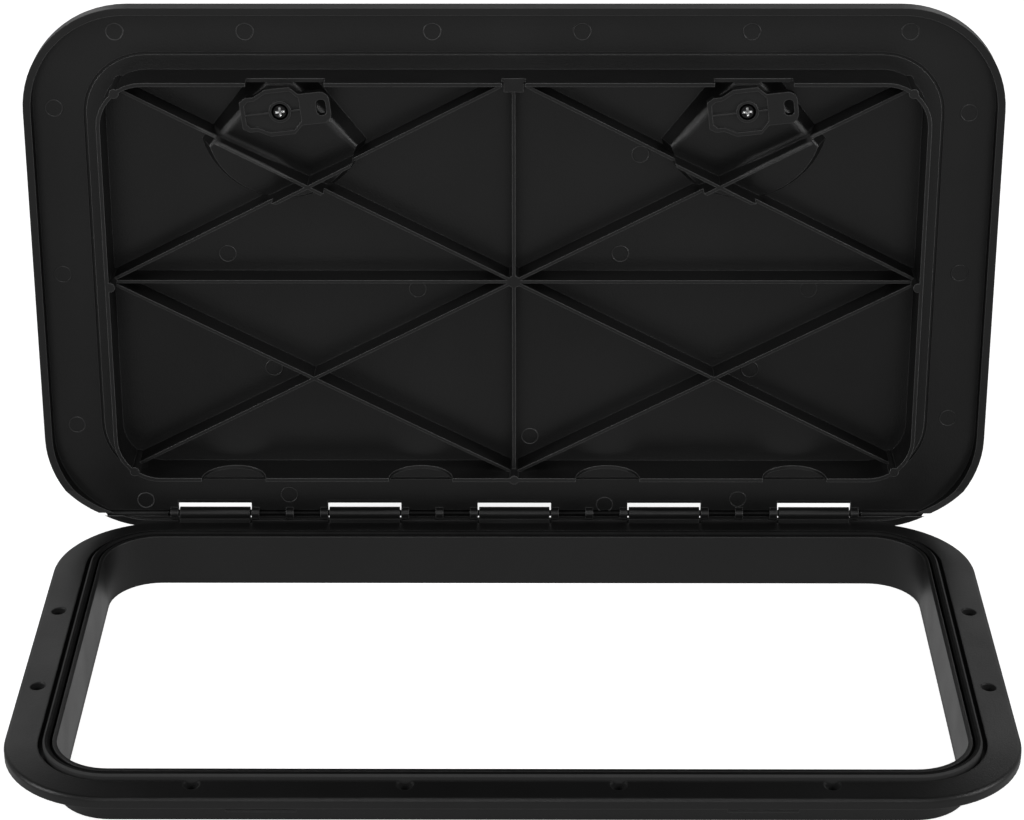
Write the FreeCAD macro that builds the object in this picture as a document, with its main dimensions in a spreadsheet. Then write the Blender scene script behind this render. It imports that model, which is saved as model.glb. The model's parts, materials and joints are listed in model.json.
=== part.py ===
import FreeCAD, Part
import math
import os
import re
import Sketcher
from FreeCAD import Placement, Rotation, Vector

# Deck access hatch: a flanged frame with a gasket, and a ribbed lid on a hinge rod with two turn latches.
# Everything is laid out with the lid closed: X across, -Y to the front, Z up from the deck under the flange.
# The lid and what it carries are then swung open about the hinge rod.

# Driving dimensions, in millimetres and degrees
SIZES = {
    # lid plate and its skirt
    "lid_width": 606,
    "lid_depth": 353,
    "lid_corner": 66,
    "plate_thickness": 4.5,
    "lid_edge_round": 4,
    "lip_width": 4.8,
    "lip_gap": 2,
    "rear_lip_height": 9.5,
    "rear_lip_ramp": 20,
    "seat_height": 11,
    "open_angle": 92.5,
    # rim wall and ribs under the lid
    "rim_side_inset": 47.4,
    "rim_front_inset": 41.5,
    "rim_rear_inset": 45,
    "rim_wall": 2.4,
    "rim_height": 28.6,
    "rim_corner": 29,
    "rib_width": 2,
    "rib_height": 17.8,
    "hub_diameter": 8,
    "post_diameter": 6,
    "post_inset": 2,
    "seal_groove_width": 1.6,
    "seal_groove_depth": 1.2,
    "seal_groove_offset": 9.5,
    "access_radius": 20.5,
    # frame flange, coaming and gasket channel
    "lid_overhang": 10,
    "frame_corner": 65,
    "rim_gap": 5,
    "rim_side_gap": 6,
    "opening_corner": 33,
    "rear_strip": 27,
    "flange_edge_height": 6.5,
    "flange_crest": 8.6,
    "flange_round": 2.5,
    "bead_height": 9.8,
    "bead_width": 2.6,
    "channel_width": 8.4,
    "channel_floor": 3.5,
    "coaming_depth": 23.5,
    "coaming_wall": 3,
    "coaming_draft": 1.5,
    "gasket_width": 4,
    "gasket_offset": 1.6,
    "gasket_gap": 0.3,
    "gasket_bevel": 1.2,
    # screw holes through the flange
    "screw_hole": 5,
    "screw_head": 9.6,
    "screw_edge": 12.3,
    "side_screw_edge": 11,
    "screw_pitch": 120,
    "side_screw_pitch": 90,
    # hinge
    "hinge_inset": 9.4,
    "hinge_height": 11.3,
    "barrel_diameter": 8,
    "rod_diameter": 4,
    "barrel_play": 0.3,
    "lug_play": 0.2,
    "slot_width": 48,
    "slot_pitch": 98,
    "slot_front": 9.2,
    "slot_rear": 5.2,
    "barrel_end_gap": 1,
    "lug_width": 5,
    "arm_thickness": 3,
    "arm_root": 2.5,
    "rod_end": 2,
    # latch housings in the lid
    "latch_spacing": 285.6,
    "latch_inset": 60.5,
    "housing_front_width": 36,
    "housing_width": 102,
    "housing_shoulder": 42,
    "housing_length": 81,
    "housing_front_depth": 20,
    "housing_rear_depth": 6.5,
    "housing_wall": 3,
    "housing_draft": 22,
    "housing_round": 3,
    "bar_height": 28,
    "bar_inset": 5,
    "notch_near": 20.5,
    "notch_far": 27.5,
    "notch_depth": 10,
    "pad_width": 12,
    "pad_length": 6.5,
    "pad_gap": 1.2,
    "boss_diameter": 24,
    "boss_gap": 0.5,
    "shaft_diameter": 10,
    "shaft_play": 0.4,
    # latch levers and knobs
    "lever_top": 21.5,
    "lever_thickness": 5,
    "tail_reach": 31,
    "tail_width": 20,
    "body_reach": 24,
    "body_width": 30,
    "body_end_width": 22,
    "body_tip_width": 17,
    "body_taper": 4,
    "lever_corner": 6,
    "lever_recess": 1.6,
    "lever_border": 2.6,
    "tail_slot_length": 10,
    "tail_slot_width": 5.9,
    "tail_slot_reach": 25.5,
    "tail_slot_corner": 2.6,
    "ring_diameter": 13.7,
    "screw_cap_diameter": 9.6,
    "screw_cap_height": 2.4,
    "screw_recess": 0.3,
    "cross_length": 5.6,
    "cross_width": 1.4,
    "cross_depth": 1.4,
    "screw_length": 14,
    "lever_rest": 6.5,
    "knob_diameter": 22,
    "knob_disc": 4,
    "grip_width": 8,
    "knob_drop": 1,
    "knob_lift": 9,
    "catch_width": 40,
    "catch_play": 1.5,
    "catch_sill": 2.5,
    # how far a cutter runs past the face it leaves by
    "overcut": 1,
}

SLOT_NUMBERS = (-2, -1, 0, 1, 2)
SCREW_STEPS = (-1.5, -0.5, 0.5, 1.5)
SIDES = {"left": -1, "right": 1}
TOUCH = 0.01

doc = FreeCAD.newDocument("deck_access_hatch")
sheet = doc.addObject("Spreadsheet::Sheet", "Sizes")
for row, (alias, number) in enumerate(SIZES.items(), start=1):
    sheet.set(f"A{row}", alias)
    sheet.set(f"B{row}", str(number))
    sheet.setAlias(f"B{row}", alias)
doc.recompute()


# Helpers that bind shapes to the sheet
def expression(text):
    return re.sub(r"[a-z_]+", lambda word: "Sizes." + word[0] if word[0] in SIZES else word[0], text)


def value(text):
    return float(sheet.evalExpression(expression(text)))


def bind(thing, **sizes):
    for name, text in sizes.items():
        thing.setExpression(name.replace("__", "."), expression(text))


def place(thing, x="0", y="0", z="0"):
    bind(thing, Placement__Base__x=x, Placement__Base__y=y, Placement__Base__z=z)
    return thing


def box(name, x, y, z, length, width, height):
    thing = doc.addObject("Part::Box", name)
    bind(thing, Length=length, Width=width, Height=height)
    return place(thing, x, y, z)


def cylinder(name, x, y, z, radius, height):
    thing = doc.addObject("Part::Cylinder", name)
    bind(thing, Radius=radius, Height=height)
    return place(thing, x, y, z)


def bar_along(name, axis, x, y, z, radius, length):
    """A round bar that starts at a point and runs along X or Y."""
    thing = doc.addObject("Part::Cylinder", name)
    bind(thing, Radius=radius, Height=length)
    turn = Rotation(Vector(0, 1, 0), 90) if axis == "x" else Rotation(Vector(1, 0, 0), -90)
    thing.Placement = Placement(Vector(), turn)
    return place(thing, x, y, z)


def cone(name, x, y, z, low, high, height):
    thing = doc.addObject("Part::Cone", name)
    bind(thing, Radius1=low, Radius2=high, Height=height)
    return place(thing, x, y, z)


def fix_point(sketch, curve, end, x, y):
    """Ties a curve's end to its distances from the sketch's origin, each measured the positive way."""
    for kind, text in (("DistanceX", x), ("DistanceY", y)):
        distance = value(text)
        if abs(distance) < 1e-9:
            other = -2 if kind == "DistanceX" else -1
            sketch.addConstraint(Sketcher.Constraint("PointOnObject", curve, end, other))
            continue
        ends = (-1, 1, curve, end) if distance > 0 else (curve, end, -1, 1)
        number = sketch.addConstraint(Sketcher.Constraint(kind, *ends, abs(distance)))
        sign = "" if distance > 0 else "-"
        bind(sketch, **{f"Constraints[{number}]": f"{sign}({text})"})


def outline(name, half, front, rear, corner, z):
    """A rectangle with round corners that spans the origin, in a level plane."""
    sketch = doc.addObject("Sketcher::SketchObject", name)
    wide, near, far, radius = (value(text) for text in (half, front, rear, corner))
    inner_x, inner_near, inner_far = wide - radius, radius - near, far - radius
    runs = (
        (Vector(-inner_x, -near), Vector(inner_x, -near)),
        (Vector(wide, inner_near), Vector(wide, inner_far)),
        (Vector(inner_x, far), Vector(-inner_x, far)),
        (Vector(-wide, inner_far), Vector(-wide, inner_near)),
    )
    centres = (
        Vector(inner_x, inner_near),
        Vector(inner_x, inner_far),
        Vector(-inner_x, inner_far),
        Vector(-inner_x, inner_near),
    )
    up = Vector(0, 0, 1)
    quarter = math.pi / 2
    lines = [sketch.addGeometry(Part.LineSegment(*run)) for run in runs]
    arcs = []
    for number, centre in enumerate(centres):
        start = (number - 1) * quarter
        circle = Part.Circle(centre, up, radius)
        arcs.append(sketch.addGeometry(Part.ArcOfCircle(circle, start, start + quarter)))
    for number, arc in enumerate(arcs):
        sketch.addConstraint(Sketcher.Constraint("Tangent", lines[number], 2, arc, 1))
        sketch.addConstraint(Sketcher.Constraint("Tangent", arc, 2, lines[(number + 1) % 4], 1))
    for line, kind in zip(lines, ("Horizontal", "Vertical", "Horizontal", "Vertical")):
        sketch.addConstraint(Sketcher.Constraint(kind, line))
    for arc in arcs[1:]:
        sketch.addConstraint(Sketcher.Constraint("Equal", arcs[0], arc))
    sized = (
        (Sketcher.Constraint("Radius", arcs[0], radius), corner),
        (Sketcher.Constraint("DistanceY", lines[0], 1, -1, 1, near), front),
        (Sketcher.Constraint("DistanceX", -1, 1, lines[1], 1, wide), half),
        (Sketcher.Constraint("DistanceY", -1, 1, lines[2], 1, far), rear),
        (Sketcher.Constraint("DistanceX", lines[3], 1, -1, 1, wide), half),
    )
    for constraint, text in sized:
        number = sketch.addConstraint(constraint)
        bind(sketch, **{f"Constraints[{number}]": text})
    bind(sketch, Placement__Base__z=z)
    return sketch


def polygon(name, points, placement=Placement()):
    """A closed outline of straight runs through points given by their two distances."""
    sketch = doc.addObject("Sketcher::SketchObject", name)
    corners = [Vector(value(x), value(y)) for x, y in points]
    for start, end in zip(corners, corners[1:] + corners[:1]):
        sketch.addGeometry(Part.LineSegment(start, end))
    for number, (x, y) in enumerate(points):
        before = (number - 1) % len(points)
        sketch.addConstraint(Sketcher.Constraint("Coincident", before, 2, number, 1))
        fix_point(sketch, number, 1, x, y)
    sketch.Placement = placement
    return sketch


def prism(name, sketch, height, backward="0", taper="0"):
    thing = doc.addObject("Part::Extrusion", name)
    thing.Base = sketch
    thing.DirMode = "Normal"
    thing.Solid = True
    bind(thing, LengthFwd=height, LengthRev=backward, TaperAngle=taper)
    return thing


def loft(name, low, high):
    thing = doc.addObject("Part::Loft", name)
    thing.Sections = [low, high]
    thing.Solid = True
    thing.Ruled = True
    return thing


def join(name, things):
    thing = doc.addObject("Part::MultiFuse", name)
    thing.Shapes = things
    thing.Refine = True
    return thing


def shared(name, things):
    thing = doc.addObject("Part::MultiCommon", name)
    thing.Shapes = things
    return thing


def cut(name, base, *tools):
    thing = doc.addObject("Part::Cut", name)
    thing.Base = base
    thing.Tool = tools[0] if len(tools) == 1 else join(name + "_tools", list(tools))
    thing.Refine = True
    return thing


def ease_edges(name, kind, base, amount, chosen):
    """Fillets or chamfers the edges of a base that a test picks by their bounds."""
    doc.recompute()
    size = value(amount)
    edges = base.Shape.Edges
    picked = [n for n, edge in enumerate(edges, start=1) if chosen(edge.BoundBox)]
    thing = doc.addObject("Part::" + kind, name)
    thing.Base = base
    thing.Edges = [(number, size, size) for number in picked]
    return thing


# Places that several pieces share, as sums of the driving dimensions
HALF_WIDTH = "lid_width / 2"
HALF_DEPTH = "lid_depth / 2"
RIM_X = "(lid_width / 2 - rim_side_inset)"
RIM_FRONT = "(lid_depth / 2 - rim_front_inset)"
RIM_REAR = "(lid_depth / 2 - rim_rear_inset)"
RIM_TIP = "(seat_height - rim_height)"
OPEN_X = f"({RIM_X} + rim_side_gap)"
OPEN_FRONT = f"({RIM_FRONT} + rim_gap)"
OPEN_REAR = f"({RIM_REAR} + rim_gap)"
FRAME_X = "(lid_width / 2 - lid_overhang)"
FRAME_FRONT = "(lid_depth / 2 - lid_overhang)"
FRAME_REAR = f"({OPEN_REAR} + rear_strip)"
HINGE_Y = "(lid_depth / 2 - hinge_inset)"
CHANNEL = "(bead_width + channel_width)"
LATCH_Y = "(latch_inset - lid_depth / 2)"
HOUSING_Y = f"(-({RIM_FRONT}) + rim_wall)"
LID_TOP = "(seat_height + plate_thickness)"


def opening_outline(name, offset, z):
    """An outline that follows the hatch opening at a distance outside it."""
    return outline(
        name,
        f"{OPEN_X} + {offset}",
        f"{OPEN_FRONT} + {offset}",
        f"{OPEN_REAR} + {offset}",
        f"opening_corner + {offset}",
        z,
    )


def frame_outline(name, z):
    return outline(name, FRAME_X, FRAME_FRONT, FRAME_REAR, "frame_corner", z)


# Frame: sloping flange, gasket channel, bead and coaming, with five hinge barrels at the rear
def screw_places():
    """Yields each screw hole's place and the height of its head's rim."""
    crest_front = f"({FRAME_FRONT} - {OPEN_FRONT} - {CHANNEL})"
    crest_side = f"({FRAME_X} - {OPEN_X} - {CHANNEL})"
    side_x = f"({FRAME_X} - side_screw_edge)"
    rise = "(flange_crest - flange_edge_height)"
    height = f"flange_edge_height + {rise} * screw_edge / {crest_front}"
    for step in SCREW_STEPS:
        yield f"{step} * screw_pitch", f"screw_edge - {FRAME_FRONT}", height
    middle = f"({OPEN_REAR} - {OPEN_FRONT}) / 2"
    height = f"flange_edge_height + {rise} * side_screw_edge / {crest_side}"
    for side in SIDES.values():
        for half in (-0.5, 0.5):
            yield f"{side} * {side_x}", f"{middle} + {half} * side_screw_pitch", height


def screw_cutters():
    cutters = []
    for number, (x, y, head) in enumerate(screw_places(), start=1):
        sink = "(screw_head - screw_hole) / 2"
        deep = "flange_crest + 2 * overcut"
        cutters.append(cylinder(f"screw_hole_{number}", x, y, "-overcut", "screw_hole / 2", deep))
        foot = f"{head} - {sink}"
        mouth = "screw_head / 2 + overcut"
        cutters.append(cone(f"screw_sink_{number}", x, y, foot, "screw_hole / 2", mouth, f"{sink} + overcut"))
    return cutters


def hinge_barrels():
    """Barrels for the rod, each carried low by an arm from the flange's rear edge."""
    pieces = []
    shin = "barrel_diameter / 2 * cos(45)"
    for number in SLOT_NUMBERS:
        length = "(slot_width - 2 * barrel_end_gap)"
        x = f"{number} * slot_pitch - {length} / 2"
        name = f"barrel_{number + 3}"
        pieces.append(bar_along(name, "x", x, HINGE_Y, "hinge_height", "barrel_diameter / 2", length))
        arm = polygon(
            name + "_arm_profile",
            (
                (f"{FRAME_REAR} - arm_root", "flange_edge_height - arm_thickness"),
                (FRAME_REAR, "flange_edge_height - arm_thickness"),
                (HINGE_Y, "hinge_height - barrel_diameter / 2"),
                (HINGE_Y, "hinge_height"),
                (f"{HINGE_Y} - {shin}", f"hinge_height - {shin}"),
                (f"{FRAME_REAR} - arm_root", "flange_edge_height"),
            ),
            Placement(Vector(), Rotation(Vector(1, 1, 1), 120)),
        )
        bind(arm, Placement__Base__x=x)
        pieces.append(prism(name + "_arm", arm, length))
    return pieces


def catch_windows():
    """Windows in the front wall of the coaming that take the tails of the levers."""
    cutters = []
    for side, sign in SIDES.items():
        top = "seat_height - lever_top + catch_play"
        bottom = "(seat_height - lever_top - lever_thickness - catch_sill)"
        cutters.append(
            box(
                f"{side}_catch",
                f"{sign} * latch_spacing / 2 - catch_width / 2",
                f"-{OPEN_FRONT} - 2 * coaming_wall",
                bottom,
                "catch_width",
                "4 * coaming_wall",
                f"{top} - {bottom}",
            )
        )
    return cutters


def make_frame():
    flange = prism("flange_base", frame_outline("flange_outline", "0"), "flange_edge_height")
    slope = loft(
        "flange_slope",
        frame_outline("flange_edge", "flange_edge_height"),
        opening_outline("flange_crest_line", CHANNEL, "flange_crest"),
    )
    bead = prism("bead", opening_outline("bead_line", "bead_width", "0"), "bead_height")
    wall = loft(
        "coaming_outside",
        opening_outline("coaming_foot", "coaming_wall - coaming_draft", "-coaming_depth"),
        opening_outline("coaming_head", "coaming_wall", "overcut"),
    )
    channel = cut(
        "channel",
        prism("channel_block", opening_outline("channel_line", CHANNEL, "channel_floor"), "flange_crest"),
        prism("channel_core", opening_outline("channel_inner_line", "bead_width", "0"), "3 * flange_crest"),
    )
    way = loft(
        "opening",
        opening_outline("opening_foot", "-coaming_draft", "-coaming_depth"),
        opening_outline("opening_head", "0", "bead_height"),
    )
    bore = bar_along(
        "barrel_bore",
        "x",
        "-lid_width / 2",
        HINGE_Y,
        "hinge_height",
        "rod_diameter / 2 + barrel_play",
        "lid_width",
    )
    edge = value("flange_edge_height")
    rounded = ease_edges(
        "flange_round_edge",
        "Fillet",
        join("flange", [flange, slope]),
        "flange_round",
        lambda bounds: abs(bounds.ZMin - edge) < TOUCH and abs(bounds.ZMax - edge) < TOUCH,
    )
    trough = cut("flange_with_channel", rounded, channel)
    body = join("frame_body", [trough, bead, wall, *hinge_barrels()])
    return cut("frame", body, way, bore, *catch_windows(), *screw_cutters())


def make_gasket():
    inner = "(bead_width + gasket_offset)"
    height = "seat_height - gasket_gap - channel_floor"
    outside = opening_outline("gasket_line", f"{inner} + gasket_width", "channel_floor")
    ring = cut(
        "gasket_ring",
        prism("gasket_block", outside, height),
        prism("gasket_core", opening_outline("gasket_inner_line", inner, "0"), "2 * seat_height"),
    )
    top = value("seat_height - gasket_gap")
    return ease_edges("gasket", "Chamfer", ring, "gasket_bevel", lambda bounds: bounds.ZMin > top - TOUCH)


# Lid: plate with a skirt, rim wall, ribs, hinge lugs and two scooped latch housings
def lid_shell():
    edge = outline("lid_line", HALF_WIDTH, HALF_DEPTH, HALF_DEPTH, "lid_corner", "lip_gap")
    block = prism("lid_block", edge, f"{LID_TOP} - lip_gap")
    top = value(LID_TOP)
    crowned = ease_edges(
        "lid_crown",
        "Fillet",
        block,
        "lid_edge_round",
        lambda bounds: bounds.ZMin > top - TOUCH,
    )
    hollow = prism(
        "lid_hollow",
        outline(
            "lid_hollow_line",
            f"{HALF_WIDTH} - lip_width",
            f"{HALF_DEPTH} - lip_width",
            f"{HALF_DEPTH} - lip_width",
            "lid_corner - lip_width",
            "0",
        ),
        "seat_height",
    )
    profile = polygon(
        "rear_lip_profile",
        (
            (f"{HINGE_Y} - rear_lip_ramp", "lip_gap"),
            ("lid_depth", "lip_gap - overcut"),
            ("lid_depth", "rear_lip_height"),
            (HINGE_Y, "rear_lip_height"),
        ),
        Placement(Vector(), Rotation(Vector(1, 1, 1), 120)),
    )
    bind(profile, Placement__Base__x="-lid_width / 2")
    return cut("lid_shell", crowned, hollow, prism("rear_lip_relief", profile, "lid_width"))


def rim_outline(name, offset, z):
    return outline(
        name,
        f"{RIM_X} - {offset}",
        f"{RIM_FRONT} - {offset}",
        f"{RIM_REAR} - {offset}",
        f"rim_corner - {offset}",
        z,
    )


def lid_rim():
    tall = "rim_height + plate_thickness / 2"
    inside = rim_outline("rim_inner_line", "rim_wall", f"{RIM_TIP} - overcut")
    ring = cut(
        "rim_ring",
        prism("rim_block", rim_outline("rim_line", "0", RIM_TIP), tall),
        prism("rim_core", inside, f"{tall} + 2 * overcut"),
    )
    cutters = []
    for step in SCREW_STEPS:
        name = f"access_notch_{step + 2.5:.0f}"
        start = f"{RIM_REAR} - 2 * rim_wall"
        cutters.append(
            bar_along(name, "y", f"{step} * screw_pitch", start, RIM_TIP, "access_radius", "3 * rim_wall")
        )
    return cut("rim", ring, *cutters)


def seal_groove():
    block = rim_outline("seal_groove_line", "(-seal_groove_offset - seal_groove_width)", "0")
    core = rim_outline("seal_groove_inner_line", "(-seal_groove_offset)", "-overcut")
    return cut(
        "seal_groove",
        prism("seal_groove_block", block, "seat_height + seal_groove_depth"),
        prism("seal_groove_core", core, "2 * seat_height"),
    )


def rib(name, start, end, depth="rib_height"):
    """A straight rib between two points of the panel, given in the plan view."""
    (x1, y1), (x2, y2) = start, end
    run_x, run_y = f"({x2} - ({x1}))", f"({y2} - ({y1}))"
    angle = f"atan2({run_y}; {run_x})"
    thing = doc.addObject("Part::Box", name)
    bind(
        thing,
        Length=f"sqrt({run_x} ^ 2 + {run_y} ^ 2)",
        Width="rib_width",
        Height=f"{depth} + plate_thickness / 2",
    )
    thing.Placement = Placement(Vector(), Rotation(Vector(0, 0, 1), 1))
    bind(thing, Placement__Rotation__Angle=angle)
    return place(
        thing,
        f"{x1} + rib_width / 2 * sin({angle})",
        f"{y1} - rib_width / 2 * cos({angle})",
        f"seat_height - ({depth})",
    )


# The rib field runs from the rim's middle line to its middle line
FIELD_X = f"({RIM_X} - rim_wall / 2)"
FIELD_MIDDLE = f"(({RIM_REAR} - {RIM_FRONT}) / 2)"
FIELD_HALF = f"(({RIM_REAR} + {RIM_FRONT}) / 2 - rim_wall / 2)"


def corner_trim():
    """How much of the half diagonal of the rib field lies before the rim's round corner."""
    half_x, half_y = value(FIELD_X), value(FIELD_HALF)
    radius = value("rim_corner - rim_wall / 2")
    full = math.hypot(half_x, half_y)
    along = ((half_x - radius) * half_x + (half_y - radius) * half_y) / full
    away = ((half_x - radius) * half_y - (half_y - radius) * half_x) / full
    return (along + math.sqrt(radius ** 2 - away ** 2)) / full


def lid_ribs():
    share = corner_trim()
    ends = {}
    for side, sx in SIDES.items():
        for end, sy in (("front", -1), ("rear", 1)):
            ends[side, end] = (f"{sx * share} * {FIELD_X}", f"{FIELD_MIDDLE} + {sy * share} * {FIELD_HALF}")
    west, east = (f"-{FIELD_X}", FIELD_MIDDLE), (FIELD_X, FIELD_MIDDLE)
    south = ("0", f"{FIELD_MIDDLE} - {FIELD_HALF}")
    north = ("0", f"{FIELD_MIDDLE} + {FIELD_HALF}")
    pieces = [
        rib("long_rib", west, east),
        rib("cross_rib", south, north),
        rib("diagonal_rib_1", ends["left", "front"], ends["right", "rear"]),
        rib("diagonal_rib_2", ends["left", "rear"], ends["right", "front"]),
        rib("rhombus_rib_1", west, north),
        rib("rhombus_rib_2", north, east),
        rib("rhombus_rib_3", east, south),
        rib("rhombus_rib_4", south, west),
    ]
    foot, tall = "seat_height - rib_height", "rib_height + plate_thickness / 2"
    pieces.append(cylinder("hub", "0", FIELD_MIDDLE, foot, "hub_diameter / 2", tall))
    post_height = "rim_height + plate_thickness / 2"
    side_posts = [(f"{sign} * ({FIELD_X} - post_inset)", FIELD_MIDDLE) for sign in SIDES.values()]
    for number, (x, y) in enumerate([*ends.values(), *side_posts, north], start=1):
        pieces.append(cylinder(f"post_{number}", x, y, RIM_TIP, "post_diameter / 2", post_height))
    return pieces


def lug(name, middle):
    edge = f"{middle} - lug_width / 2"
    return bar_along(name, "x", edge, HINGE_Y, "hinge_height", "barrel_diameter / 2", "lug_width")


def hinge_lugs():
    pieces = []
    for number in SLOT_NUMBERS:
        for side, sign in SIDES.items():
            middle = f"{number} * slot_pitch + {sign} * (slot_width + lug_width) / 2"
            pieces.append(lug(f"lug_{number + 3}_{side}", middle))
    for number in SLOT_NUMBERS[:-1]:
        pieces.append(lug(f"middle_lug_{number + 3}", f"{number + 0.5} * slot_pitch"))
    return pieces


def hinge_slots():
    cutters = []
    for number in SLOT_NUMBERS:
        cutters.append(
            box(
                f"slot_{number + 3}",
                f"{number} * slot_pitch - slot_width / 2",
                f"{HINGE_Y} - slot_front",
                "0",
                "slot_width",
                "slot_front + slot_rear",
                "2 * seat_height",
            )
        )
        cutters.append(
            box(
                f"slot_lip_{number + 3}",
                f"{number} * slot_pitch - slot_width / 2",
                HINGE_Y,
                "0",
                "slot_width",
                "2 * hinge_inset",
                "seat_height",
            )
        )
    return cutters


def shield(name, x, inset, up, down, draft="0"):
    """The plan of a latch housing as a prism, drafted below the plate: narrow front, round rear."""
    slope = "((housing_width - housing_front_width) / 2 / housing_shoulder)"
    lean = f"sqrt(1 + {slope} ^ 2)"
    run = "(housing_front_depth * tan(housing_draft))"
    half_front = f"(housing_front_width / 2 - {run} * {slope} - {inset} * {lean})"
    half = f"(housing_width / 2 - {inset})"
    shoulder = f"(housing_shoulder + {inset} * ({lean} - 1) / {slope})"
    rear = f"(housing_length - {inset})"
    sketch = doc.addObject("Sketcher::SketchObject", name + "_line")
    a, b, c, d = (
        Vector(-value(half_front), -value(run)),
        Vector(value(half_front), -value(run)),
        Vector(value(half), value(shoulder)),
        Vector(-value(half), value(shoulder)),
    )
    sketch.addGeometry(Part.LineSegment(a, b))
    sketch.addGeometry(Part.LineSegment(b, c))
    sketch.addGeometry(Part.Arc(c, Vector(0, value(rear)), d))
    sketch.addGeometry(Part.LineSegment(d, a))
    for number in range(4):
        sketch.addConstraint(Sketcher.Constraint("Coincident", number, 2, (number + 1) % 4, 1))
    fix_point(sketch, 0, 1, f"-{half_front}", f"-{run}")
    fix_point(sketch, 0, 2, half_front, f"-{run}")
    fix_point(sketch, 2, 1, half, shoulder)
    fix_point(sketch, 2, 2, f"-{half}", shoulder)
    number = sketch.addConstraint(Sketcher.Constraint("Radius", 2, sketch.Geometry[2].Radius))
    rise = f"({rear} - {shoulder})"
    bind(sketch, **{f"Constraints[{number}]": f"({half} ^ 2 + {rise} ^ 2) / (2 * {rise})"})
    place(sketch, x, HOUSING_Y, "seat_height")
    thing = prism(name, sketch, up, down)
    bind(thing, TaperAngleRev=f"-{draft}")
    return thing


def wedge(name, x, start, lift):
    """The sloping side profile of a latch housing, deep at the front and shallow at the rear."""
    top = "(plate_thickness + 2 * overcut)"
    profile = polygon(
        name + "_profile",
        (
            (start, f"-(housing_front_depth - {lift})"),
            ("housing_length", f"-(housing_rear_depth - {lift})"),
            ("housing_length", top),
            (start, top),
        ),
        Placement(Vector(), Rotation(Vector(1, 1, 1), 120)),
    )
    place(profile, f"{x} - housing_width", HOUSING_Y, "seat_height")
    return prism(name, profile, "2 * housing_width")


def latch_x(side):
    return f"{SIDES[side]} * latch_spacing / 2"


def latch_housing(side):
    x = latch_x(side)
    down = "housing_front_depth + overcut"
    mass = shield(f"{side}_housing_plan", x, "0", "plate_thickness / 2", down, "housing_draft")
    slab = wedge(f"{side}_housing_side", x, "-rim_wall / 2", "0")
    deepest = value("seat_height - housing_front_depth")
    body = ease_edges(
        f"{side}_housing",
        "Fillet",
        shared(f"{side}_housing_block", [mass, slab]),
        "housing_round",
        lambda bounds: bounds.ZMin < deepest + 1 and bounds.YLength > 10,
    )
    face = "seat_height - lever_top + boss_gap"
    boss = cylinder(f"{side}_boss", x, LATCH_Y, face, "boss_diameter / 2", "housing_front_depth / 2")
    return [body, boss]


def rim_notch(name, x, near, far):
    """A cutter that lowers the front rim wall between two distances from a place along it."""
    return box(
        name,
        f"{x} - {near}",
        f"-{RIM_FRONT} - rim_wall",
        f"{RIM_TIP} - overcut",
        f"{near} + {far}",
        "2 * rim_wall + rim_wall / 2",
        "notch_depth + overcut",
    )


def latch_recess(side):
    """What is cut for a latch: the finger recess, the shaft's bore and the lever's way over the rim."""
    x = latch_x(side)
    up = "plate_thickness + overcut"
    plan = shield(f"{side}_recess_plan", x, "housing_wall", up, "housing_front_depth", "housing_draft")
    void = shared(f"{side}_recess", [plan, wedge(f"{side}_recess_side", x, "housing_wall", "housing_wall")])
    bore = cylinder(
        f"{side}_shaft_bore",
        x,
        LATCH_Y,
        "seat_height - lever_top",
        "shaft_diameter / 2 + shaft_play",
        "2 * housing_front_depth",
    )
    return [void, bore, rim_notch(f"{side}_tail_notch", x, "notch_near", "notch_far")]


def housing_bars(side):
    """The diagonal ribs run on over the housing at a greater height."""
    sign = SIDES[side]
    cell_x, cell_y = f"({sign} * {FIELD_X} / 2)", f"({FIELD_MIDDLE} - {FIELD_HALF} / 2)"
    plan = shield(f"{side}_bar_plan", latch_x(side), "bar_inset", "plate_thickness / 2", "bar_height")
    bars = []
    for number, lean in enumerate((-1, 1), start=1):
        start = (f"{cell_x} - {FIELD_X} / 4", f"{cell_y} - {lean} * {FIELD_HALF} / 4")
        end = (f"{cell_x} + {FIELD_X} / 4", f"{cell_y} + {lean} * {FIELD_HALF} / 4")
        bars.append(rib(f"{side}_bar_{number}", start, end, "bar_height"))
    return shared(f"{side}_bars", [join(f"{side}_bar_cross", bars), plan])


def front_pad():
    """A low pad behind a gap of the rim at the middle of the front."""
    height = "(rim_height - notch_depth)"
    return box(
        "front_pad",
        "-pad_width / 2",
        f"-{RIM_FRONT} + rim_wall / 2",
        f"seat_height - {height}",
        "pad_width",
        "rim_wall / 2 + pad_length",
        f"{height} + plate_thickness / 2",
    )


def make_lid():
    shell = cut("lid_plate", lid_shell(), seal_groove())
    pieces = [shell, lid_rim(), *lid_ribs(), *hinge_lugs(), front_pad()]
    pad_half = "(pad_width / 2 + pad_gap)"
    cutters = [*hinge_slots(), rim_notch("pad_notch", "0", pad_half, pad_half)]
    for side in SIDES:
        pieces.extend(latch_housing(side))
        pieces.append(housing_bars(side))
        cutters.extend(latch_recess(side))
    rod_way = bar_along(
        "lug_bore",
        "x",
        "-lid_width / 2",
        HINGE_Y,
        "hinge_height",
        "rod_diameter / 2 + lug_play",
        "lid_width",
    )
    return cut("lid", join("lid_body", pieces), rod_way, *cutters)


def make_rod():
    half = "(2 * slot_pitch + slot_width / 2 + lug_width + rod_end)"
    return bar_along("hinge_rod", "x", f"-{half}", HINGE_Y, "hinge_height", "rod_diameter / 2", f"2 * {half}")


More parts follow.
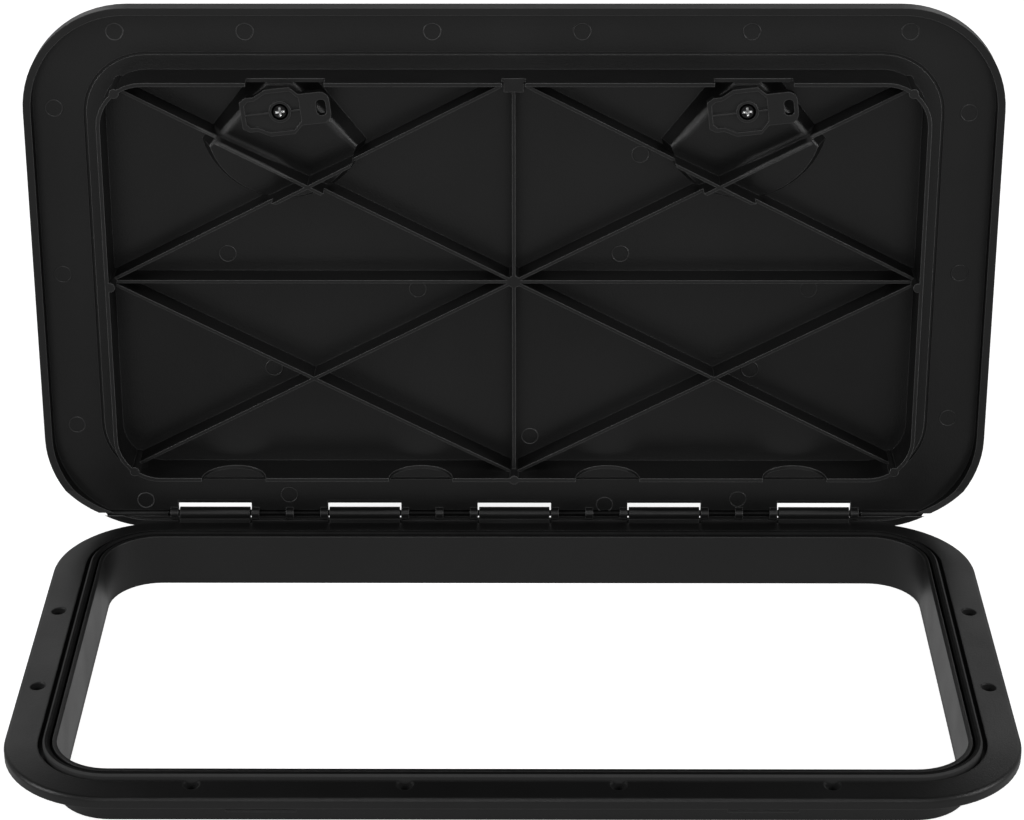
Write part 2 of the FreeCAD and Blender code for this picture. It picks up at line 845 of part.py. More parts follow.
# Latches: a knob with its shaft in the recess, a lever under the housing and its screw
def lever_outline(name, inset, tail):
    half_body, half_end = f"(body_width / 2 - {inset})", f"(body_end_width / 2 - {inset})"
    half_tail = f"(tail_width / 2 - {inset})"
    points = [
        (f"-body_reach + {inset}", f"-(body_tip_width / 2 - {inset})"),
        (f"-body_reach + body_taper + {inset} / 2", f"-{half_end}"),
        ("-body_width / 2", f"-{half_end}"),
        ("-body_width / 4", f"-{half_body}"),
        ("body_width / 4", f"-{half_body}"),
        ("body_width / 2 - lever_border", f"-{half_tail}"),
    ]
    if tail:
        points.append((f"tail_reach - {inset}", f"-{half_tail}"))
    mirrored = [(x, y[1:]) for x, y in reversed(points)]
    return polygon(name, points + mirrored)


def make_lever(side):
    plate = prism(f"{side}_lever_plate", lever_outline(f"{side}_lever_line", "0", True), "lever_thickness")
    reach = value("tail_reach")
    rounded = ease_edges(
        f"{side}_lever_round",
        "Fillet",
        plate,
        "lever_corner",
        lambda bounds: bounds.ZLength > 1 and bounds.XMin > reach - TOUCH,
    )
    pan_line = lever_outline(f"{side}_lever_pan_line", "lever_border", False)
    pan = prism(f"{side}_lever_pan", pan_line, "lever_recess")
    spine = box(
        f"{side}_lever_spine",
        "-body_reach",
        "-rib_width / 4",
        "0",
        "body_reach + body_width / 2",
        "rib_width / 2",
        "lever_recess",
    )
    ring = cylinder(f"{side}_lever_ring", "0", "0", "0", "ring_diameter / 2", "lever_recess")
    pool = cut(f"{side}_lever_pool", pan, spine, ring)
    deep = "lever_thickness + 2 * overcut"
    half_slot = "tail_slot_length / 2"
    slot_line = outline(
        f"{side}_tail_slot_line", "tail_slot_width / 2", half_slot, half_slot, "tail_slot_corner", "-overcut"
    )
    place(slot_line, "tail_slot_reach", "0", "-overcut")
    slot = prism(f"{side}_tail_slot", slot_line, deep)
    bore = cylinder(f"{side}_lever_bore", "0", "0", "-overcut", "rod_diameter / 2 + lug_play", deep)
    seat_radius, seat = "screw_cap_diameter / 2 + shaft_play", "screw_recess + screw_cap_height + overcut"
    screw_seat = cylinder(f"{side}_screw_seat", "0", "0", "-overcut", seat_radius, seat)
    return cut(f"{side}_latch_lever", rounded, pool, slot, bore, screw_seat)


def make_lever_screw(side):
    """A cross-head screw whose cap lies just under the rim of the lever's ring."""
    low = "screw_recess"
    cap = cylinder(f"{side}_screw_cap", "0", "0", low, "screw_cap_diameter / 2", "screw_cap_height")
    shank = cylinder(f"{side}_screw_shank", "0", "0", low, "rod_diameter / 2", "screw_length")
    grooves = []
    for way, length, width in (("x", "cross_length", "cross_width"), ("y", "cross_width", "cross_length")):
        corner = (f"-{length} / 2", f"-{width} / 2", f"{low} - overcut")
        grooves.append(box(f"{side}_groove_{way}", *corner, length, width, "cross_depth + overcut"))
    return cut(f"{side}_latch_screw", join(f"{side}_screw_blank", [cap, shank]), *grooves)


def make_knob(side):
    """The shaft stands on the lever, and its disc and grip fill the deep end of the recess."""
    top = "(lever_top + plate_thickness - knob_drop)"
    floor = "(lever_top - housing_front_depth + housing_wall + knob_lift)"
    foot, low = "lever_thickness", f"lever_thickness + {floor}"
    shaft = cylinder(f"{side}_shaft", "0", "0", foot, "shaft_diameter / 2", f"{floor} + knob_disc / 2")
    disc = cylinder(f"{side}_knob_disc", "0", "0", low, "knob_diameter / 2", "knob_disc")
    grip = shared(
        f"{side}_grip",
        [
            box(
                f"{side}_grip_bar",
                "-knob_diameter / 2",
                "-grip_width / 2",
                low,
                "knob_diameter",
                "grip_width",
                f"{top} - ({floor})",
            ),
            cylinder(f"{side}_grip_round", "0", "0", "0", "knob_diameter / 2", f"2 * {top}"),
        ],
    )
    deep = "screw_length + overcut"
    bore = cylinder(f"{side}_knob_bore", "0", "0", "0", "rod_diameter / 2 + lug_play", deep)
    return cut(f"{side}_latch_knob", join(f"{side}_knob_body", [shaft, disc, grip]), bore)


# The assembly: latches go to their pivots, and the lid side swings open about the rod
hinge_point = Vector(0, value(HINGE_Y), value("hinge_height"))
swing = Placement(Vector(), Rotation(Vector(1, 0, 0), -value("open_angle")), hinge_point)

nodes = {"frame": make_frame(), "gasket": make_gasket()}
lid_side = {"lid": make_lid(), "hinge_rod": make_rod()}
lever_bottom = value("seat_height - lever_top - lever_thickness")
for side in SIDES:
    turned = Rotation(Vector(0, 0, 1), -value("lever_rest"))
    pivot = Placement(Vector(value(latch_x(side)), value(LATCH_Y), lever_bottom), turned)
    for maker in (make_lever, make_lever_screw, make_knob):
        piece = maker(side)
        piece.Placement = swing * pivot
        nodes[piece.Name] = piece
for name, piece in lid_side.items():
    for path, _ in list(piece.ExpressionEngine):
        if "Placement" in path:
            piece.setExpression(path, None)
    doc.recompute()
    piece.Placement = swing * piece.Placement
    nodes[name] = piece
doc.recompute()

# Nothing is written until every object is sound
for thing in doc.Objects:
    if "Invalid" in thing.State or "Error" in thing.State:
        raise RuntimeError(f"{thing.Name} failed: {thing.State}")
for name, piece in nodes.items():
    piece.Label = name
    if piece.Shape.isNull() or not piece.Shape.isValid():
        raise RuntimeError(f"{name} is not a sound solid")
    print(name, "solids", len(piece.Shape.Solids), "volume", round(piece.Shape.Volume))

os.makedirs("parts", exist_ok=True)
for piece in nodes.values():
    piece.Shape.exportStep(f"parts/{piece.Label}.step")
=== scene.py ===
"""A moulded deck access hatch standing open on a pale studio floor, dressed over its solids."""
import json
import math

import bmesh
import bpy
from mathutils import Matrix, Vector


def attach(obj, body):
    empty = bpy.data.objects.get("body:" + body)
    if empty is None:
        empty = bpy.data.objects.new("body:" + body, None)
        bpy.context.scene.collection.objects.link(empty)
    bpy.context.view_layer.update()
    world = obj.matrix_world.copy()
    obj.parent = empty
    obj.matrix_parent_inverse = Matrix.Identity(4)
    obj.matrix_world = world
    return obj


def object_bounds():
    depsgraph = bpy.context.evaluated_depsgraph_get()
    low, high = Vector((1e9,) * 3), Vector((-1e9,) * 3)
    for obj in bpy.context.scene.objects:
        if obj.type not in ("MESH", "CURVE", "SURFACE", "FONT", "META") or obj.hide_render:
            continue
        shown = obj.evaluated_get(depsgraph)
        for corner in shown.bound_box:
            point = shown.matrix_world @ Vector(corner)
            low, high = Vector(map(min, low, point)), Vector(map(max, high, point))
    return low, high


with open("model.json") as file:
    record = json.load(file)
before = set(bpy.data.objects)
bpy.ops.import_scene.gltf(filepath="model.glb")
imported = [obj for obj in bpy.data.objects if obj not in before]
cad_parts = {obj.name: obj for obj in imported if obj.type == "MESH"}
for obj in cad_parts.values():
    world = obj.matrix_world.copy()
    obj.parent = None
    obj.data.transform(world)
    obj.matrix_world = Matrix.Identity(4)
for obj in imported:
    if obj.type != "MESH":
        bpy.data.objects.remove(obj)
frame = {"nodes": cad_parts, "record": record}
solid_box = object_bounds()

MM = 0.001
SIDES = {"left": -1, "right": 1}
NODES = frame["nodes"]
JOINTS = {joint["name"]: joint for joint in frame["record"]["behaviour"]["joints"]}
LATCHES = [JOINTS[f"{side}_latch_turn"] for side in SIDES]

# Camera as fitted to the photograph: the picture in pixels, lengths in mm and angles in degrees
PICTURE_WIDTH = 1024
FOCAL_PIXELS = 3046
SENSOR = 36
CAMERA_PLACE = (9.0, -1600.0, 942.5)
PITCH_DOWN = 25.853
YAW = -0.337
ROLL = -0.106
CLIP_START = 50
CLIP_END = 50000


def photo_camera():
    pitch, yaw, roll = map(math.radians, (PITCH_DOWN, YAW, ROLL))
    forward = Vector((math.sin(yaw) * math.cos(pitch), math.cos(yaw) * math.cos(pitch), -math.sin(pitch)))
    right = Vector((math.cos(yaw), -math.sin(yaw), 0))
    up = right.cross(forward)
    level = Matrix((right, up, -forward)).transposed()
    data = bpy.data.cameras.new("photo_camera")
    data.sensor_fit = "HORIZONTAL"
    data.sensor_width = SENSOR
    data.lens = FOCAL_PIXELS * SENSOR / PICTURE_WIDTH
    data.clip_start = CLIP_START * MM
    data.clip_end = CLIP_END * MM
    camera = bpy.data.objects.new("photo_camera", data)
    turn = (level @ Matrix.Rotation(roll, 3, "Z")).to_4x4()
    camera.matrix_world = Matrix.Translation(Vector(CAMERA_PLACE) * MM) @ turn
    bpy.context.scene.collection.objects.link(camera)
    bpy.context.scene.camera = camera


# Rounding of the edges in the materials, in mm
LID_ROUND = 0.7
FRAME_ROUND = 1.2
LEVER_ROUND = 0.8
MARK_ROUND = 0.05
RUBBER_ROUND = 0.5
STEEL_ROUND = 0.3
ROUND_SAMPLES = 4

# Wide rounding of the lid's shoulders round the two latches, in mm; the squeeze widens its reach sideways
SHOULDER_ROUND = 5.5
SHOULDER_DROP = 14
SHOULDER_REACH = (22, 30)
SHOULDER_SQUEEZE = 0.55

# Hollows and edges: a reach in mm, bands of openness, and a band of cosines between rounded and flat normals
HOLLOW_REACH = 5
HOLLOW_SAMPLES = 2
HOLLOW_OPENNESS = (0.35, 0.85)
HOLLOW_DULLNESS = 0.3
EDGE_OPENNESS = (0.7, 0.95)
EDGE_COSINE = (0.8, 0.99)
# Strength of the pale edge tone: a painted highlight, partly wear, on the plastics, and wear on the steel
EDGE_WEAR_AND_HIGHLIGHT = 0.7

# Screw holes of the flange, in mm
FRONT_SCREWS = (-180, -60, 60, 180)
FRONT_SCREW_Y = -154.2
SIDE_SCREWS = (-46.75, 43.25)
SIDE_SCREW_X = 282
HOLE_EDGE = (4, 4.9)

# Rings round a latch screw's axis, in mm: its head up to a rim, and the lever's seat, both painted dark as
# shade
HEAD_EDGE = (3.7, 4.0)
SEAT_EDGE = (5.2, 5.5)

# Recess for the driver in a screw's head: a reach in mm and a band of openness
DRIVE_REACH = 2
DRIVE_SAMPLES = 6
DRIVE_OPENNESS = (0.5, 0.85)
DRIVE_WEAR = 0.95

# Painted highlight on the gasket's outer shoulder: a band of distances from the middle along the normal, in
# mm
GASKET_LEAN = (40, 70)
GASKET_HIGHLIGHT = 0.9

# Patterns of the materials, each a noise scale and its detail, and the band of noise that they use
FLOW_PATTERN = (9, 3)
SHEEN_PATTERN = (30, 4)
DUST_PATTERN = (70, 5)
SKIN_PATTERN = (300, 2)
ROD_PATTERN = (260, 4)
SCREW_PATTERN = (420, 4)
TURNING_PATTERN = (900, 3)
PAPER_PATTERN = (3, 3)
NOISE_BAND = (0.3, 0.7)

# Grains of the surfaces, each a noise scale, a strength and a depth in mm
PLASTIC_GRAINS = ((800, 0.35, 0.25), (2900, 0.28, 0.09))
RUBBER_GRAINS = ((1500, 0.15, 0.1),)
STEEL_GRAINS = ((2600, 0.12, 0.05),)
GRAIN_DETAIL = 3

# Shine of the plastic and the rubber, the grey of painted shade in holes and seats, and the whole band of a
# mask
PLASTIC_SHINE = 0.45
RUBBER_SHINE = 0.2
PAINTED_SHADE_TONE = 0.001
MASK_BAND = (0, 1)


def grey(value):
    return (value, value, value, 1)


def metres(lengths):
    return [length * MM for length in lengths]


# Node graphs of the materials
def new_material(name):
    material = bpy.data.materials.new(name)
    material.use_nodes = True
    return material, material.node_tree, material.node_tree.nodes["Principled BSDF"]


def set_inputs(tree, node, inputs):
    """Gives a node its inputs: a socket is linked, and any other value is set."""
    for key, given in inputs.items():
        if isinstance(given, bpy.types.NodeSocket):
            tree.links.new(given, node.inputs[key])
        else:
            node.inputs[key].default_value = given


def add_node(tree, kind, inputs, **settings):
    node = tree.nodes.new("ShaderNode" + kind)
    for key, setting in settings.items():
        setattr(node, key, setting)
    set_inputs(tree, node, inputs)
    return node


def maths(tree, operation, first, second):
    """A number worked out from two numbers."""
    return add_node(tree, "Math", {0: first, 1: second}, operation=operation).outputs["Value"]


def vector_maths(tree, operation, *vectors, result="Vector"):
    """A vector worked out from vectors, or a number if the result asks for a value."""
    return add_node(tree, "VectorMath", dict(enumerate(vectors)), operation=operation).outputs[result]


def least(tree, numbers):
    """The least of some numbers."""
    smallest, *others = numbers
    for number in others:
        smallest = maths(tree, "MINIMUM", number, smallest)
    return smallest


def object_place(tree):
    return add_node(tree, "TexCoord", {}).outputs["Object"]


def flat_normal(tree):
    return add_node(tree, "NewGeometry", {}).outputs["Normal"]


def noise(tree, scale, detail):
    inputs = {"Vector": object_place(tree), "Scale": scale, "Detail": detail}
    return add_node(tree, "TexNoise", inputs).outputs["Fac"]


def spread(tree, source, low, high, band):
    """A number that goes from low to high while its source goes through a band."""
    start, end = band
    inputs = {"Value": source, "From Min": start, "From Max": end, "To Min": low, "To Max": high}
    return add_node(tree, "MapRange", inputs).outputs["Result"]


def patches(tree, pattern, low, high):
    """Numbers that vary from low to high in a noise pattern."""
    return spread(tree, noise(tree, *pattern), low, high, NOISE_BAND)


def mixed(tree, mask, first, second):
    """The first colour where a mask is nought, and the second where it is one."""
    inputs = {"Factor": mask, "A": first, "B": second}
    return add_node(tree, "Mix", inputs, data_type="RGBA").outputs["Result"]


def two_tone(tree, pattern, dark, light):
    """Two greys that take turns in a noise pattern."""
    return mixed(tree, patches(tree, pattern, 0, 1), grey(dark), grey(light))


def covered(tree, colour, mask, tone, strength=1):
    """A colour that turns to a grey tone where a mask is one, as far as the strength allows."""
    return mixed(tree, spread(tree, mask, 0, strength, MASK_BAND), colour, grey(tone))


def openness(tree, reach, samples, alone=False):
    """One on open ground and less in hollows: those of all pieces, or those of the piece alone."""
    inputs = {"Distance": reach * MM}
    return add_node(tree, "AmbientOcclusion", inputs, samples=samples, only_local=alone).outputs["AO"]


def rounded_normal(tree, radius):
    """The normal of a surface whose edges are rounded by a radius."""
    return add_node(tree, "Bevel", {"Radius": radius}, samples=ROUND_SAMPLES).outputs["Normal"]


def outer_edges(tree, rounded, open_ground):
    """One where the rounded normal turns away from the flat one on open ground, and nought elsewhere."""
    cosine = vector_maths(tree, "DOT_PRODUCT", rounded, flat_normal(tree), result="Value")
    turned = spread(tree, cosine, 1, 0, EDGE_COSINE)
    outer = spread(tree, open_ground, 0, 1, EDGE_OPENNESS)
    return maths(tree, "MULTIPLY", turned, outer)


def grained(tree, normal, grains):
    """A normal roughened by some grains."""
    for scale, strength, depth in grains:
        height = noise(tree, scale, GRAIN_DETAIL)
        bump = {"Height": height, "Strength": strength, "Distance": depth * MM, "Normal": normal}
        normal = add_node(tree, "Bump", bump).outputs["Normal"]
    return normal


# Masks and radii that depend on the place
def nearest(tree, squeeze, places):
    """Distance to the nearest of some places, with each axis first narrowed by a squeeze."""
    narrowed = vector_maths(tree, "MULTIPLY", object_place(tree), squeeze)
    ends = [Vector(place) * Vector(squeeze) for place in places]
    return least(tree, [vector_maths(tree, "DISTANCE", narrowed, end, result="Value") for end in ends])


def shoulder_rounding(tree):
    """Edge radius of the lid: fine on its ribs, and wide on the shoulders round the two latches."""
    drop = Vector((0, 0, SHOULDER_DROP * MM))
    middles = [Vector(latch["pos_m"]) - drop for latch in LATCHES]
    gap = nearest(tree, (SHOULDER_SQUEEZE, 1, 1), middles)
    return spread(tree, gap, SHOULDER_ROUND * MM, LID_ROUND * MM, metres(SHOULDER_REACH))


def screw_places():
    """The middles of the flange's screw holes, in m."""
    front = [(x * MM, FRONT_SCREW_Y * MM, 0) for x in FRONT_SCREWS]
    sides = [(way * SIDE_SCREW_X * MM, y * MM, 0) for way in SIDES.values() for y in SIDE_SCREWS]
    return front + sides


def screw_hole_mask(tree):
    """One in the screw holes of the flange and nought round them: where shade is painted."""
    return spread(tree, nearest(tree, (1, 1, 0), screw_places()), 1, 0, metres(HOLE_EDGE))


def latch_axis_gap(tree):
    """Distance from the axis of the nearer latch."""
    here = object_place(tree)
    gaps = []
    for latch in LATCHES:
        offset = vector_maths(tree, "SUBTRACT", here, latch["pos_m"])
        across = vector_maths(tree, "CROSS_PRODUCT", offset, latch["axis"])
        gaps.append(vector_maths(tree, "LENGTH", across, result="Value"))
    return least(tree, gaps)


def screw_seat_mask(tree):
    """One in the lever's seat for its screw and nought round it: where shade is painted."""
    return spread(tree, latch_axis_gap(tree), 1, 0, metres(SEAT_EDGE))


def screw_rim_mask(tree):
    """One on the rim of a latch screw and nought on its head: where shade is painted."""
    return spread(tree, latch_axis_gap(tree), 0, 1, metres(HEAD_EDGE))


def screw_drive_mask(tree):
    """One in the driver's recess of a latch screw and nought round it."""
    return spread(tree, openness(tree, DRIVE_REACH, DRIVE_SAMPLES, alone=True), 1, 0, DRIVE_OPENNESS)


def outer_shoulder_mask(tree):
    """One on faces that lean outward from the middle of the hatch, and nought elsewhere."""
    lean = vector_maths(tree, "DOT_PRODUCT", object_place(tree), flat_normal(tree), result="Value")
    return spread(tree, lean, 0, 1, metres(GASKET_LEAN))


# Materials, with their tones as greys from nought to one
def moulded_plastic(name, dark, light, wear_and_highlight, roughness, rounding, painted_shade=None):
    """Black plastic: a fine eroded grain, slow changes from the flow, dull hollows, edges painted paler as a
    highlight and partly as wear, and painted shade where a mask asks for it.
    """
    material, tree, shader = new_material(name)
    radius = rounding(tree) if callable(rounding) else rounding * MM
    rounded = rounded_normal(tree, radius)
    open_ground = openness(tree, HOLLOW_REACH, HOLLOW_SAMPLES)
    colour = two_tone(tree, FLOW_PATTERN, dark, light)
    # Edges are painted paler: a painted highlight, partly wear
    colour = covered(tree, colour, outer_edges(tree, rounded, open_ground), wear_and_highlight, EDGE_WEAR_AND_HIGHLIGHT)
    dullness = spread(tree, open_ground, HOLLOW_DULLNESS, 0, HOLLOW_OPENNESS)
    rough = maths(tree, "ADD", patches(tree, SHEEN_PATTERN, *roughness), dullness)
    if painted_shade:
        # Painted shade: the masked holes and seats turn near black and rough
        shade_mask = painted_shade(tree)
        colour = covered(tree, colour, shade_mask, PAINTED_SHADE_TONE)
        rough = maths(tree, "MAXIMUM", rough, shade_mask)
    normal = grained(tree, rounded, PLASTIC_GRAINS)
    set_inputs(tree, shader, {"Base Color": colour, "Roughness": rough, "Normal": normal})
    shader.inputs["Specular IOR Level"].default_value = PLASTIC_SHINE
    return material


def soft_rubber(name, dark, light, wear_and_highlight, roughness):
    """Black sealing rubber: dull, dusty in patches, with a painted highlight on its outer shoulder and a
    faint skin.
    """
    material, tree, shader = new_material(name)
    colour = two_tone(tree, DUST_PATTERN, dark, light)
    # Painted highlight: faces leaning outward are painted paler
    colour = covered(tree, colour, outer_shoulder_mask(tree), wear_and_highlight, GASKET_HIGHLIGHT)
    rough = patches(tree, SKIN_PATTERN, *roughness)
    normal = grained(tree, rounded_normal(tree, RUBBER_ROUND * MM), RUBBER_GRAINS)
    set_inputs(tree, shader, {"Base Color": colour, "Roughness": rough, "Normal": normal})
    shader.inputs["Specular IOR Level"].default_value = RUBBER_SHINE
    return material


def turned_steel(name, dark, light, wear_and_highlight, roughness):
    """Dark steel with fine turning marks, a little staining and edges rubbed bright."""
    material, tree, shader = new_material(name)
    rounded = rounded_normal(tree, STEEL_ROUND * MM)
    edges = outer_edges(tree, rounded, openness(tree, HOLLOW_REACH, HOLLOW_SAMPLES))
    colour = covered(tree, two_tone(tree, ROD_PATTERN, dark, light), edges, wear_and_highlight, EDGE_WEAR_AND_HIGHLIGHT)
    rough = patches(tree, TURNING_PATTERN, *roughness)
    normal = grained(tree, rounded, STEEL_GRAINS)
    set_inputs(tree, shader, {"Base Color": colour, "Roughness": rough, "Normal": normal})
    shader.inputs["Metallic"].default_value = 1
    return material


def blackened_screw(name, dark, light, bare, rim, roughness):
    """A blackened screw head: stained, painted near black at its rim as shade, and bare bright steel where a
    driver has rubbed it.
    """
    material, tree, shader = new_material(name)
    colour = two_tone(tree, SCREW_PATTERN, dark, light)
    colour = covered(tree, colour, screw_drive_mask(tree), bare, DRIVE_WEAR)
    # Painted shade: the rim of the head turns near black, like the gap of its seat
    colour = covered(tree, colour, screw_rim_mask(tree), rim)
    rough = patches(tree, TURNING_PATTERN, *roughness)
    normal = grained(tree, rounded_normal(tree, STEEL_ROUND * MM), STEEL_GRAINS)
    set_inputs(tree, shader, {"Base Color": colour, "Roughness": rough, "Normal": normal})
    shader.inputs["Metallic"].default_value = 1
    return material


def pale_floor(name, dark, light, glow, roughness):
    """White paper that glows, so that it stays pale in the part's shade."""
    material, tree, shader = new_material(name)
    material.cycles.emission_sampling = "NONE"
    paper = two_tone(tree, PAPER_PATTERN, dark, light)
    set_inputs(tree, shader, {"Base Color": paper, "Emission Color": paper})
    shader.inputs["Emission Strength"].default_value = glow
    shader.inputs["Roughness"].default_value = roughness
    return material


def dress(material, *names):
    for name in names:
        mesh = NODES[name].data
        mesh.materials.clear()
        mesh.materials.append(material)


# Pieces that the scene adds, drawn in mm; those of the lid are drawn on the closed lid
SEAT_HEIGHT = 11
PLATE_THICKNESS = 4.5
EASE_STEPS = 3
EASE_PROFILE = 0.5


def open_lid():
    """The turn that takes a place on the closed lid to where the lid stands."""
    hinge = JOINTS["lid_hinge"]
    pivot = Vector(hinge["pos_m"])
    angle = math.radians(hinge["range_deg"][0])
    turn = Matrix.Rotation(-angle, 4, Vector(hinge["axis"]))
    return Matrix.Translation(pivot) @ turn @ Matrix.Translation(-pivot)


def carried_piece(name, shape, material, body):
    """A mesh carried by a body; one for the lid is drawn on the closed lid and swung open with it."""
    bmesh.ops.recalc_face_normals(shape, faces=shape.faces)
    mesh = bpy.data.meshes.new(name)
    shape.to_mesh(mesh)
    shape.free()
    if body == "lid":
        mesh.transform(open_lid())
    mesh.materials.append(material)
    piece = bpy.data.objects.new(name, mesh)
    bpy.context.scene.collection.objects.link(piece)
    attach(piece, body)
    return piece


def add_box(shape, middle, size):
    placing = Matrix.Translation(Vector(middle) * MM) @ Matrix.Diagonal((*(Vector(size) * MM), 1))
    bmesh.ops.create_cube(shape, size=1, matrix=placing)


def ease_edges(shape, axis, start, radius):
    """Rounds the edges that lie beyond a start along an axis."""
    edges = [edge for edge in shape.edges if min(getattr(end.co, axis) for end in edge.verts) > start * MM]
    rounding = {"offset": radius * MM, "segments": EASE_STEPS, "profile": EASE_PROFILE}
    bmesh.ops.bevel(shape, geom=edges, affect="EDGES", **rounding)


# Ejector marks: shallow rings that the mould's pins left inside the lid, with edges sharp above an angle
MARK_RADIUS = 5.3
MARK_WIDTH = 0.5
MARK_HEIGHT = 0.55
MARK_SINK = 0.1
MARK_STEPS = 40
SHARP_DEGREES = 115
FLANGE_MARKS = (
    (-245, -159), (-165, -159), (-50, -159), (42, -159), (146, -159), (243, -159),
    (-285, -110), (-286, 0), (-283, 104), (282, -107), (282, -1), (280, 99),
    (-241, 158), (-147, 154), (59, 161), (146, 157),
)
PANEL_MARKS = ((-181, -14), (79, -80), (67, -14), (-61, 10), (187, 10), (-154, 64), (151, 65), (10, 112))


def mark_circle(shape, x, y, radius, height):
    circle = []
    for step in range(MARK_STEPS):
        angle = math.tau * step / MARK_STEPS
        place = (x + radius * math.cos(angle), y + radius * math.sin(angle), SEAT_HEIGHT - height)
        circle.append(shape.verts.new(Vector(place) * MM))
    return circle


def mark_ring(shape, x, y):
    """A low closed ring of three circles: outer foot, crest and inner foot."""
    outline = ((MARK_WIDTH, -MARK_SINK), (0, MARK_HEIGHT), (-MARK_WIDTH, -MARK_SINK))
    circles = [mark_circle(shape, x, y, MARK_RADIUS + offset, height) for offset, height in outline]
    for outer, inner in zip(circles, circles[1:] + circles[:1]):
        for step in range(MARK_STEPS):
            after = (step + 1) % MARK_STEPS
            shape.faces.new((outer[step], outer[after], inner[after], inner[step]))


def ejector_marks(material):
    shape = bmesh.new()
    for x, y in FLANGE_MARKS + PANEL_MARKS:
        mark_ring(shape, x, y)
    mesh = carried_piece("ejector_marks", shape, material, "lid").data
    mesh.shade_smooth()
    mesh.set_sharp_from_angle(angle=math.radians(SHARP_DEGREES))


# Slot ledges: the plate's edge above each hinge barrel
SLOT_NUMBERS = range(-2, 3)
SLOT_PITCH = 98
SLOT_WIDTH = 48
SLOT_EDGE = 157.9
LEDGE_DEPTH = 2
LEDGE_SINK = 0.3
LEDGE_SKIN = 0.05
LEDGE_EASE = 0.4


def slot_ledges(material):
    """Strips that narrow the five hinge slots, flush with the plate and with eased edges."""
    shape = bmesh.new()
    size = (SLOT_WIDTH + 2 * LEDGE_SINK, LEDGE_DEPTH + LEDGE_SINK, PLATE_THICKNESS - 2 * LEDGE_SKIN)
    y = SLOT_EDGE + (LEDGE_DEPTH - LEDGE_SINK) / 2
    z = SEAT_HEIGHT + PLATE_THICKNESS / 2
    for number in SLOT_NUMBERS:
        add_box(shape, (number * SLOT_PITCH, y, z), size)
    ease_edges(shape, "y", SLOT_EDGE, LEDGE_EASE)
    carried_piece("slot_ledges", shape, material, "lid")


# Catch sills: the raised foot of each catch window in the front wall of the coaming
SILL_TOP = -16.4
SILL_FOOT = -18.3
SILL_FRONT = -141.9
SILL_BACK = -140.3
SILL_WIDTH = 40.6
SILL_EASE = 0.3


def catch_sills(material):
    """Strips on the feet of the two catch windows, flush with the outside of the wall."""
    shape = bmesh.new()
    size = (SILL_WIDTH, SILL_BACK - SILL_FRONT, SILL_TOP - SILL_FOOT)
    y = (SILL_FRONT + SILL_BACK) / 2
    z = (SILL_TOP + SILL_FOOT) / 2
    for latch in LATCHES:
        add_box(shape, (latch["pos_m"][0] / MM, y, z), size)
    ease_edges(shape, "z", SILL_TOP - SILL_EASE, SILL_EASE)
    carried_piece("catch_sills", shape, material, "frame")


# Studio in m and W: a floor at the coaming's foot, pale surroundings low down, a dark ceiling and soft lights
FLOOR_HALF = 8
FLOOR_GLOW = 0.18
LOW_GLOW = 0.285
CEILING_GLOW = 0.04
FLOOR_RISE = (-0.45, -0.1)
CEILING_RISE = (0.35, 0.75)


def studio_floor(material):
    """A white floor that lends the part no light of its own."""
    foot = solid_box[0].z
    corners = ((-1, -1), (1, -1), (1, 1), (-1, 1))
    mesh = bpy.data.meshes.new("floor")
    mesh.from_pydata([(x * FLOOR_HALF, y * FLOOR_HALF, foot) for x, y in corners], [], [range(len(corners))])
    mesh.materials.append(material)
    floor = bpy.data.objects.new("floor", mesh)
    floor.visible_diffuse = False
    floor.visible_glossy = False
    bpy.context.scene.collection.objects.link(floor)


def soft_light(name, place, target, size, power):
    data = bpy.data.lights.new(name, "AREA")
    data.shape = "RECTANGLE"
    data.size, data.size_y = size
    data.energy = power
    light = bpy.data.objects.new(name, data)
    light.location = place
    light.rotation_mode = "QUATERNION"
    light.rotation_quaternion = (Vector(target) - Vector(place)).to_track_quat("-Z", "Y")
    bpy.context.scene.collection.objects.link(light)


def studio_world():
    """Surroundings pale low down and dark above, by the rise: the sine of the angle over the horizon."""
    world = bpy.data.worlds.new("studio")
    world.use_nodes = True
    tree = world.node_tree
    sight = add_node(tree, "TexCoord", {}).outputs["Generated"]
    rise = add_node(tree, "SeparateXYZ", {"Vector": sight}).outputs["Z"]
    around = spread(tree, rise, LOW_GLOW, CEILING_GLOW, CEILING_RISE)
    below = spread(tree, rise, FLOOR_GLOW, 0, FLOOR_RISE)
    glow = maths(tree, "ADD", around, below)
    set_inputs(tree, tree.nodes["Background"], {"Strength": glow, "Color": grey(1)})
    bpy.context.scene.world = world


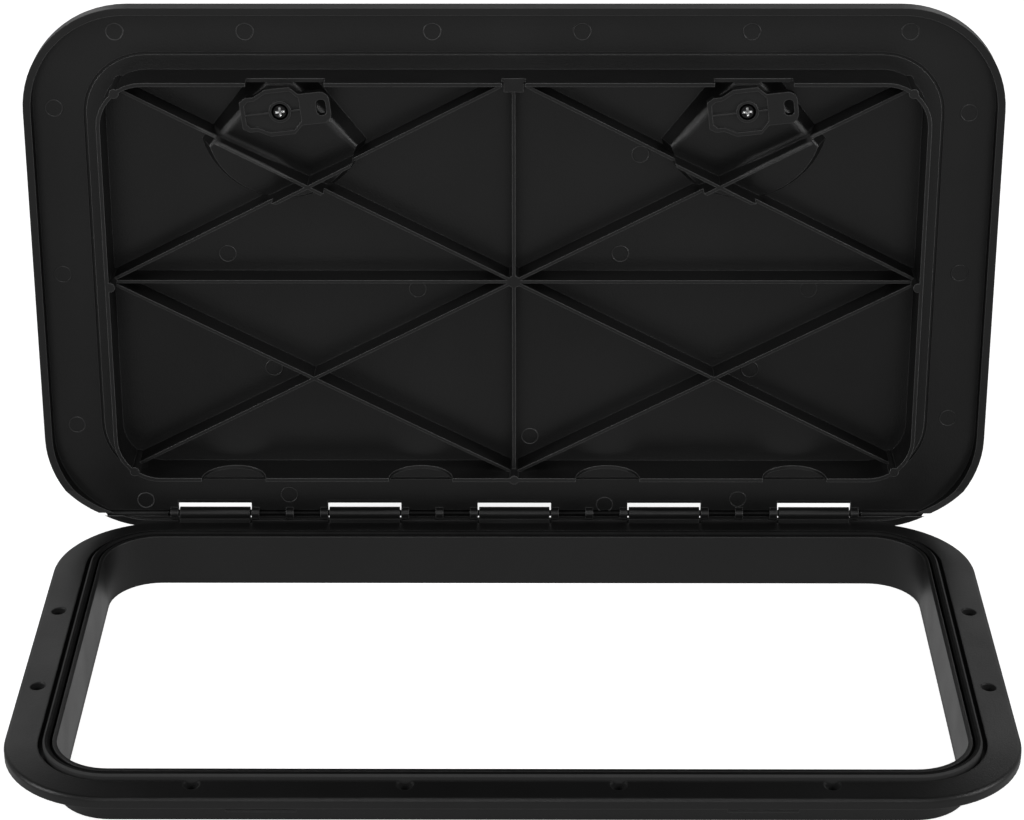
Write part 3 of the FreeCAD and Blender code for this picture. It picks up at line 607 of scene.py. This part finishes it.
def studio_light():
    studio_world()
    bpy.context.scene.view_settings.view_transform = "Standard"
    soft_light("overhead", place=(0, -1.5, 2.4), target=(0, 0, 0.15), size=(1.8, 0.8), power=9)
    soft_light("front", place=(0, -2.6, 1.05), target=(0, 0, 0.1), size=(2.0, 0.3), power=9)
    for side, way in SIDES.items():
        beside = (2.0 * way, -0.6, 1.0)
        behind = (1.2 * way, 1.9, 1.1)
        soft_light(f"{side}_side", place=beside, target=(0, 0, 0.15), size=(0.7, 1.6), power=18)
        soft_light(f"{side}_back", place=behind, target=(0, 0, 0.05), size=(1.2, 1.0), power=2.4)


# The pale edge tone of each plastic is a painted highlight, partly wear
lid_plastic = moulded_plastic(
    "lid_plastic", dark=0.005, light=0.008, wear_and_highlight=0.22, roughness=(0.33, 0.395), rounding=shoulder_rounding
)
frame_plastic = moulded_plastic(
    "frame_plastic", dark=0.005, light=0.008, wear_and_highlight=0.07, roughness=(0.35, 0.415), rounding=FRAME_ROUND,
    painted_shade=screw_hole_mask,
)
lever_plastic = moulded_plastic(
    "lever_plastic", dark=0.006, light=0.009, wear_and_highlight=0.14, roughness=(0.33, 0.395), rounding=LEVER_ROUND,
    painted_shade=screw_seat_mask,
)
# The marks are the lid's plastic painted paler: a painted highlight on their rings
mark_plastic = moulded_plastic(
    "mark_plastic", dark=0.01, light=0.05, wear_and_highlight=0.1, roughness=(0.27, 0.335), rounding=MARK_ROUND
)
gasket_rubber = soft_rubber("gasket_rubber", dark=0.003, light=0.006, wear_and_highlight=0.05, roughness=(0.6, 0.75))
rod_steel = turned_steel("rod_steel", dark=0.012, light=0.02, wear_and_highlight=0.5, roughness=(0.42, 0.6))
screw_steel = blackened_screw(
    "screw_steel", dark=0.015, light=0.06, bare=0.8, rim=0.001, roughness=(0.12, 0.28)
)
floor_paper = pale_floor("floor_paper", dark=0.86, light=0.9, glow=0.92, roughness=0.9)

dress(lid_plastic, "lid")
dress(frame_plastic, "frame")
dress(gasket_rubber, "gasket")
dress(rod_steel, "hinge_rod")
for side in SIDES:
    dress(lever_plastic, f"{side}_latch_lever", f"{side}_latch_knob")
    dress(screw_steel, f"{side}_latch_screw")
ejector_marks(mark_plastic)
slot_ledges(lid_plastic)
catch_sills(frame_plastic)
studio_floor(floor_paper)
studio_light()
photo_camera()
